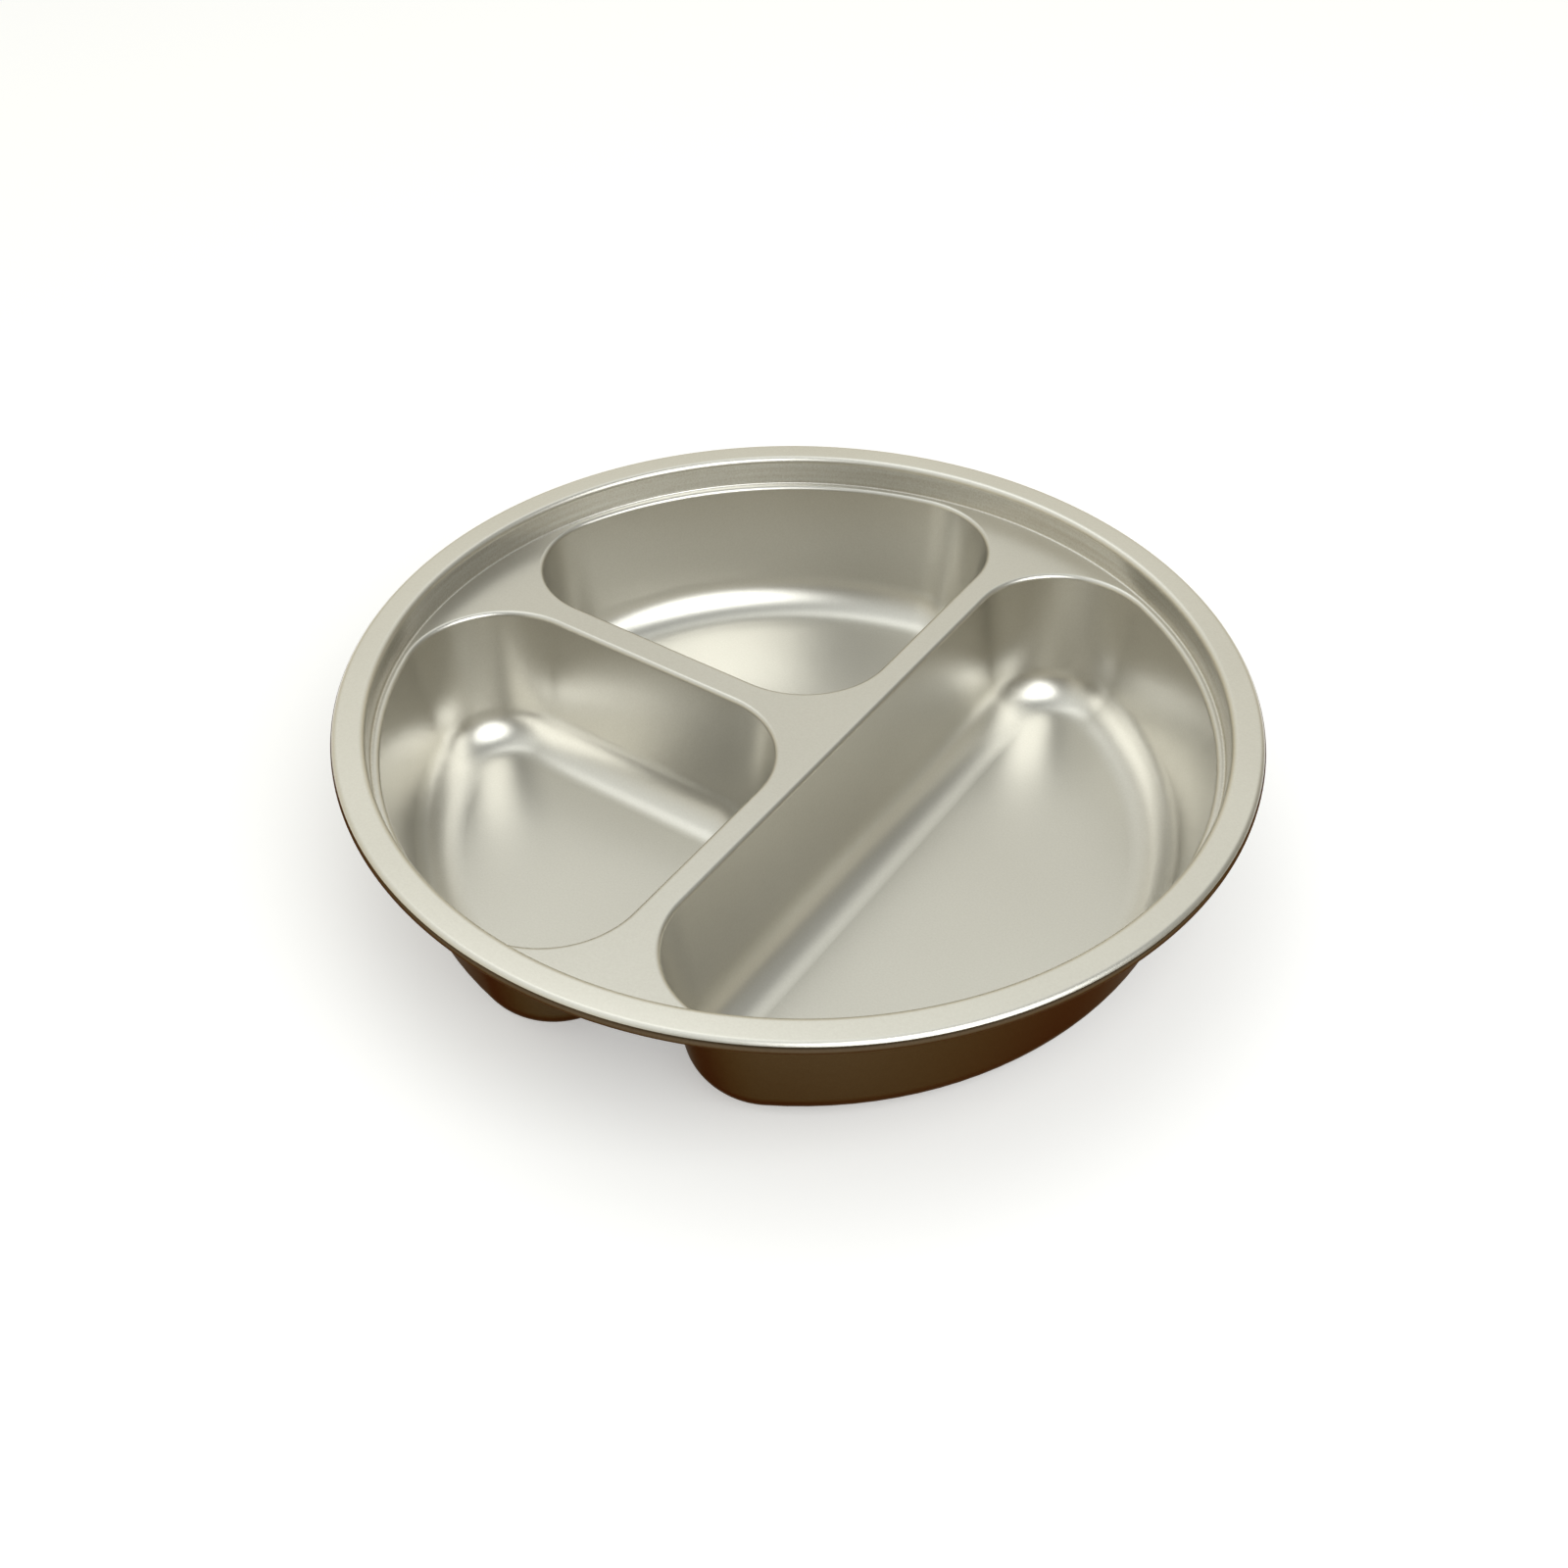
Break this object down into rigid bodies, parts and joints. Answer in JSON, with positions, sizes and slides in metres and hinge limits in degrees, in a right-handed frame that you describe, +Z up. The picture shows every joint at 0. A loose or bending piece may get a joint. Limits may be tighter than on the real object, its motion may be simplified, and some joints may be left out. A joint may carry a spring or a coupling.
{
  "type": "divided compartment plate",
  "caption": "Round pressed-steel divided plate: half-round well, smaller wells, flat ribs between them, recessed deck for a lid and a rolled rim.",
  "frame": {"origin": "on the table, under the centre of the round rim", "axes": "+Z up; the long rib runs along Y; the half-round well is at +X"},
  "size_m": [0.23, 0.23, 0.0464],
  "materials": {
    "satin_steel": "satin"
  },
  "bodies": {
    "root": {"rim_roll": "satin_steel", "rim_flange": "satin_steel", "recess_wall": "satin_steel", "divider_deck": "satin_steel", "half_well_rim_wall": "satin_steel", "half_well_rib_wall": "satin_steel", "half_well_front_corner": "satin_steel", "half_well_rear_corner": "satin_steel", "half_well_floor": "satin_steel", "front_well_rim_wall": "satin_steel", "front_well_long_rib_wall": "satin_steel", "front_well_short_rib_wall": "satin_steel", "front_well_long_corner": "satin_steel", "front_well_short_corner": "satin_steel", "front_well_inner_corner": "satin_steel", "front_well_floor": "satin_steel", "rear_well_rim_wall": "satin_steel", "rear_well_long_rib_wall": "satin_steel", "rear_well_short_rib_wall": "satin_steel", "rear_well_long_corner": "satin_steel", "rear_well_short_corner": "satin_steel", "rear_well_inner_corner": "satin_steel", "rear_well_floor": "satin_steel"}
  },
  "joints": []
}
